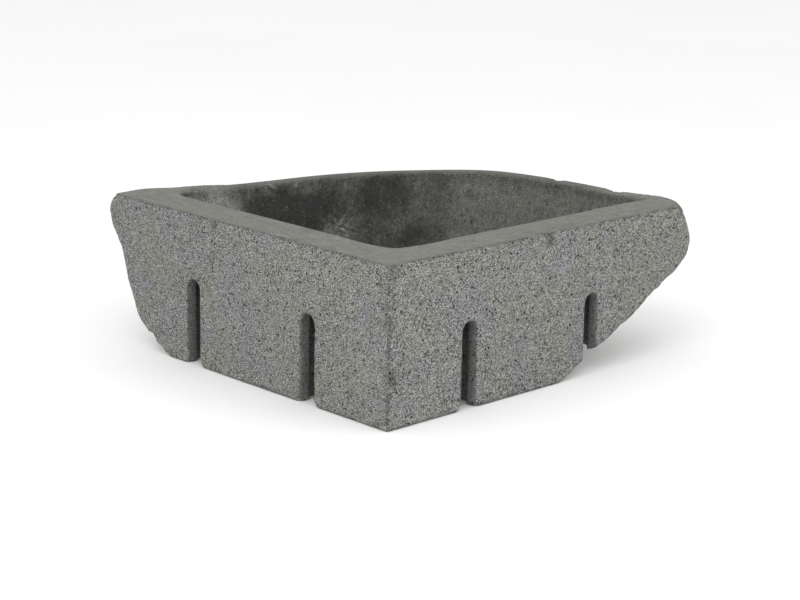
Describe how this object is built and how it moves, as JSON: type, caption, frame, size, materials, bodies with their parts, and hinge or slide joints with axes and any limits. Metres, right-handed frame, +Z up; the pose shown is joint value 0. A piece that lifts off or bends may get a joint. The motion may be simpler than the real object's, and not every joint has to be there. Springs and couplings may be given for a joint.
{
  "type": "stone corner basin",
  "caption": "Corner hand basin carved from a boulder, with sawn wall faces, hanging slots and a click waste whose plug lifts.",
  "frame": {"origin": "middle of the stone's box in plan, on the plane of its sawn base", "axes": "+X along the longer sawn wall face and away from the wall corner, +Y along the other wall face, +Z up"},
  "size_m": [0.4369, 0.4092, 0.15],
  "materials": {
    "stone": "sawn and honed grey volcanic stone",
    "chrome": "polished",
    "brass": "turned",
    "rubber": "matt black",
    "washer_plastic": "natural polyethylene",
    "cartridge_plastic": "moulded acetal",
    "spring_steel": "drawn stainless wire"
  },
  "bodies": {
    "basin": {"stone_basin": "stone", "waste_body": "chrome", "flange_gasket": "rubber", "lower_gasket": "rubber", "slip_washer": "washer_plastic", "back_nut": "brass", "cartridge_housing": "cartridge_plastic", "cartridge_lid": "cartridge_plastic", "stem_wiper": "rubber", "latch_spring": "spring_steel"},
    "plug": {"plug_cap": "chrome", "plug_seal": "rubber", "plug_stem": "brass"},
    "rotor": {"latch_rotor": "cartridge_plastic"}
  },
  "joints": [
    {"name": "plug_lift", "type": "slide", "parent": "basin", "child": "plug", "axis": [0, 0, 1], "range_m": [0, 0.009], "deforming": ["latch_spring"]},
    {"name": "rotor_turn", "type": "hinge", "parent": "plug", "child": "rotor", "pos_m": [-0.0535, -0.04464, 0.021], "axis": [0, 0, 1], "continuous": true}
  ]
}
